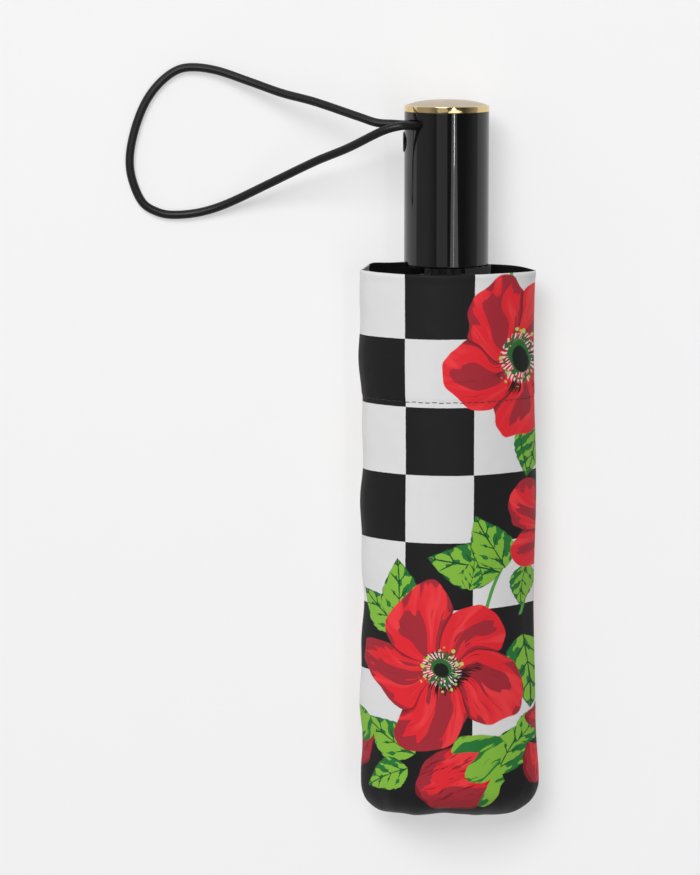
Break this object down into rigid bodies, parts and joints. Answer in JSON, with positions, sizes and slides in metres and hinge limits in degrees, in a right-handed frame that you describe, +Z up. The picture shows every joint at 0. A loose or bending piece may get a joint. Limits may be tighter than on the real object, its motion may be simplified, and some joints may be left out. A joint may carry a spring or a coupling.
{
  "type": "folding umbrella",
  "caption": "Closed folding umbrella in a printed fabric sleeve, with a gloss black push-button handle, a gold end cap and an elastic wrist loop.",
  "frame": {"origin": "on the floor, under the centre of the closed umbrella's box", "axes": "+Y along the shaft to the handle's end cap, +X to the umbrella's right side as it lies, +Z up from the floor"},
  "size_m": [0.1584, 0.2937, 0.0398],
  "materials": {
    "handle_black": "high gloss",
    "cap_gold": "polished",
    "loop_cord": "braided elastic cord",
    "sleeve_fabric": "printed polyester",
    "canopy_fabric": "printed pongee",
    "tube_steel": "plated",
    "rib_steel": "plated",
    "dark_steel": "black coated",
    "black_plastic": "moulded",
    "white_plastic": "moulded"
  },
  "bodies": {
    "frame": {"inner_tube": "tube_steel", "main_spring": "rib_steel", "crown": "white_plastic", "crown_wire": "rib_steel", "top_cap": "black_plastic", "runner": "black_plastic", "runner_wire": "rib_steel", "canopy": "canopy_fabric", "closure_strap": "canopy_fabric", "strap_snap": "rib_steel", "stretcher_1": "dark_steel", "stretcher_2": "dark_steel", "stretcher_3": "dark_steel", "stretcher_4": "dark_steel", "stretcher_5": "dark_steel", "stretcher_6": "dark_steel", "stretcher_7": "dark_steel", "stretcher_8": "dark_steel", "top_rib_1": "rib_steel", "top_rib_2": "rib_steel", "top_rib_3": "rib_steel", "top_rib_4": "rib_steel", "top_rib_5": "rib_steel", "top_rib_6": "rib_steel", "top_rib_7": "rib_steel", "top_rib_8": "rib_steel", "middle_rib_1": "rib_steel", "middle_rib_2": "rib_steel", "middle_rib_3": "rib_steel", "middle_rib_4": "rib_steel", "middle_rib_5": "rib_steel", "middle_rib_6": "rib_steel", "middle_rib_7": "rib_steel", "middle_rib_8": "rib_steel", "tail_rib_1": "dark_steel", "tail_rib_2": "dark_steel", "tail_rib_3": "dark_steel", "tail_rib_4": "dark_steel", "tail_rib_5": "dark_steel", "tail_rib_6": "dark_steel", "tail_rib_7": "dark_steel", "tail_rib_8": "dark_steel"},
    "middle_tube": {"middle_tube": "tube_steel"},
    "handle": {"outer_tube": "tube_steel", "handle_shell": "handle_black", "end_cap": "cap_gold", "tube_socket": "black_plastic", "latch_block": "black_plastic", "latch_pin": "rib_steel", "loop_anchor": "dark_steel", "wrist_loop": "loop_cord", "button_spring": "rib_steel"},
    "button": {"push_button": "handle_black"},
    "latch": {"latch_lever": "rib_steel"},
    "sleeve": {"sleeve": "sleeve_fabric"}
  },
  "joints": [
    {"name": "middle_tube_slide", "type": "slide", "parent": "frame", "child": "middle_tube", "axis": [0, 1, 0], "range_m": [0, 0.14], "deforming": ["main_spring"]},
    {"name": "handle_slide", "type": "slide", "parent": "middle_tube", "child": "handle", "axis": [0, 1, 0], "range_m": [0, 0.14], "deforming": ["main_spring"]},
    {"name": "button_press", "type": "slide", "parent": "handle", "child": "button", "axis": [1, 0, 0], "range_m": [0, 0.0016], "stiffness_N_per_m": 600, "springref_m": -0.001, "deforming": ["button_spring"]},
    {"name": "latch_rock", "type": "hinge", "parent": "handle", "child": "latch", "pos_m": [-0.008, 0.1185, 0.0193], "axis": [0, 0, -1], "range_deg": [0, 18.5]},
    {"name": "sleeve_slide", "type": "slide", "parent": "frame", "child": "sleeve", "axis": [0, -1, 0], "range_m": [0, 0.215]}
  ],
  "couplings": [
    {"joint": "latch_rock", "follows": "button_press", "rad_per_m": 200}
  ]
}
